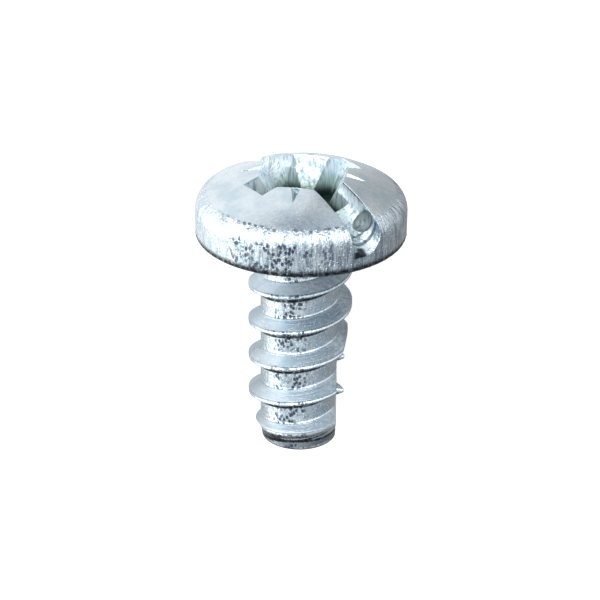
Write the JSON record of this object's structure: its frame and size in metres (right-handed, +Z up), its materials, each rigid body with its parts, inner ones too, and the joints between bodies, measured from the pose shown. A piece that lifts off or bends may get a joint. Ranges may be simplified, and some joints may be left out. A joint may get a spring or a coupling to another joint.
{
  "type": "tapping screw",
  "caption": "Pan head tapping screw with a slot and type Z cross drive, coarse right-hand thread, cutting flute and flat end.",
  "frame": {"origin": "on the screw's axis, in the plane of the bearing face under the head", "axes": "+Z up, with the screw lying as it rests, on the edge of its head and a crest near its tip; +Y towards the head, along the axis but for the rest tilt of 15.32 degrees that lifts the head end; the front side of the picture faces up"},
  "size_m": [0.0068, 0.0099, 0.0067],
  "materials": {
    "zinc_plated_steel": "bright blue-white zinc plating"
  },
  "bodies": {
    "root": {"screw": "zinc_plated_steel"}
  },
  "joints": []
}
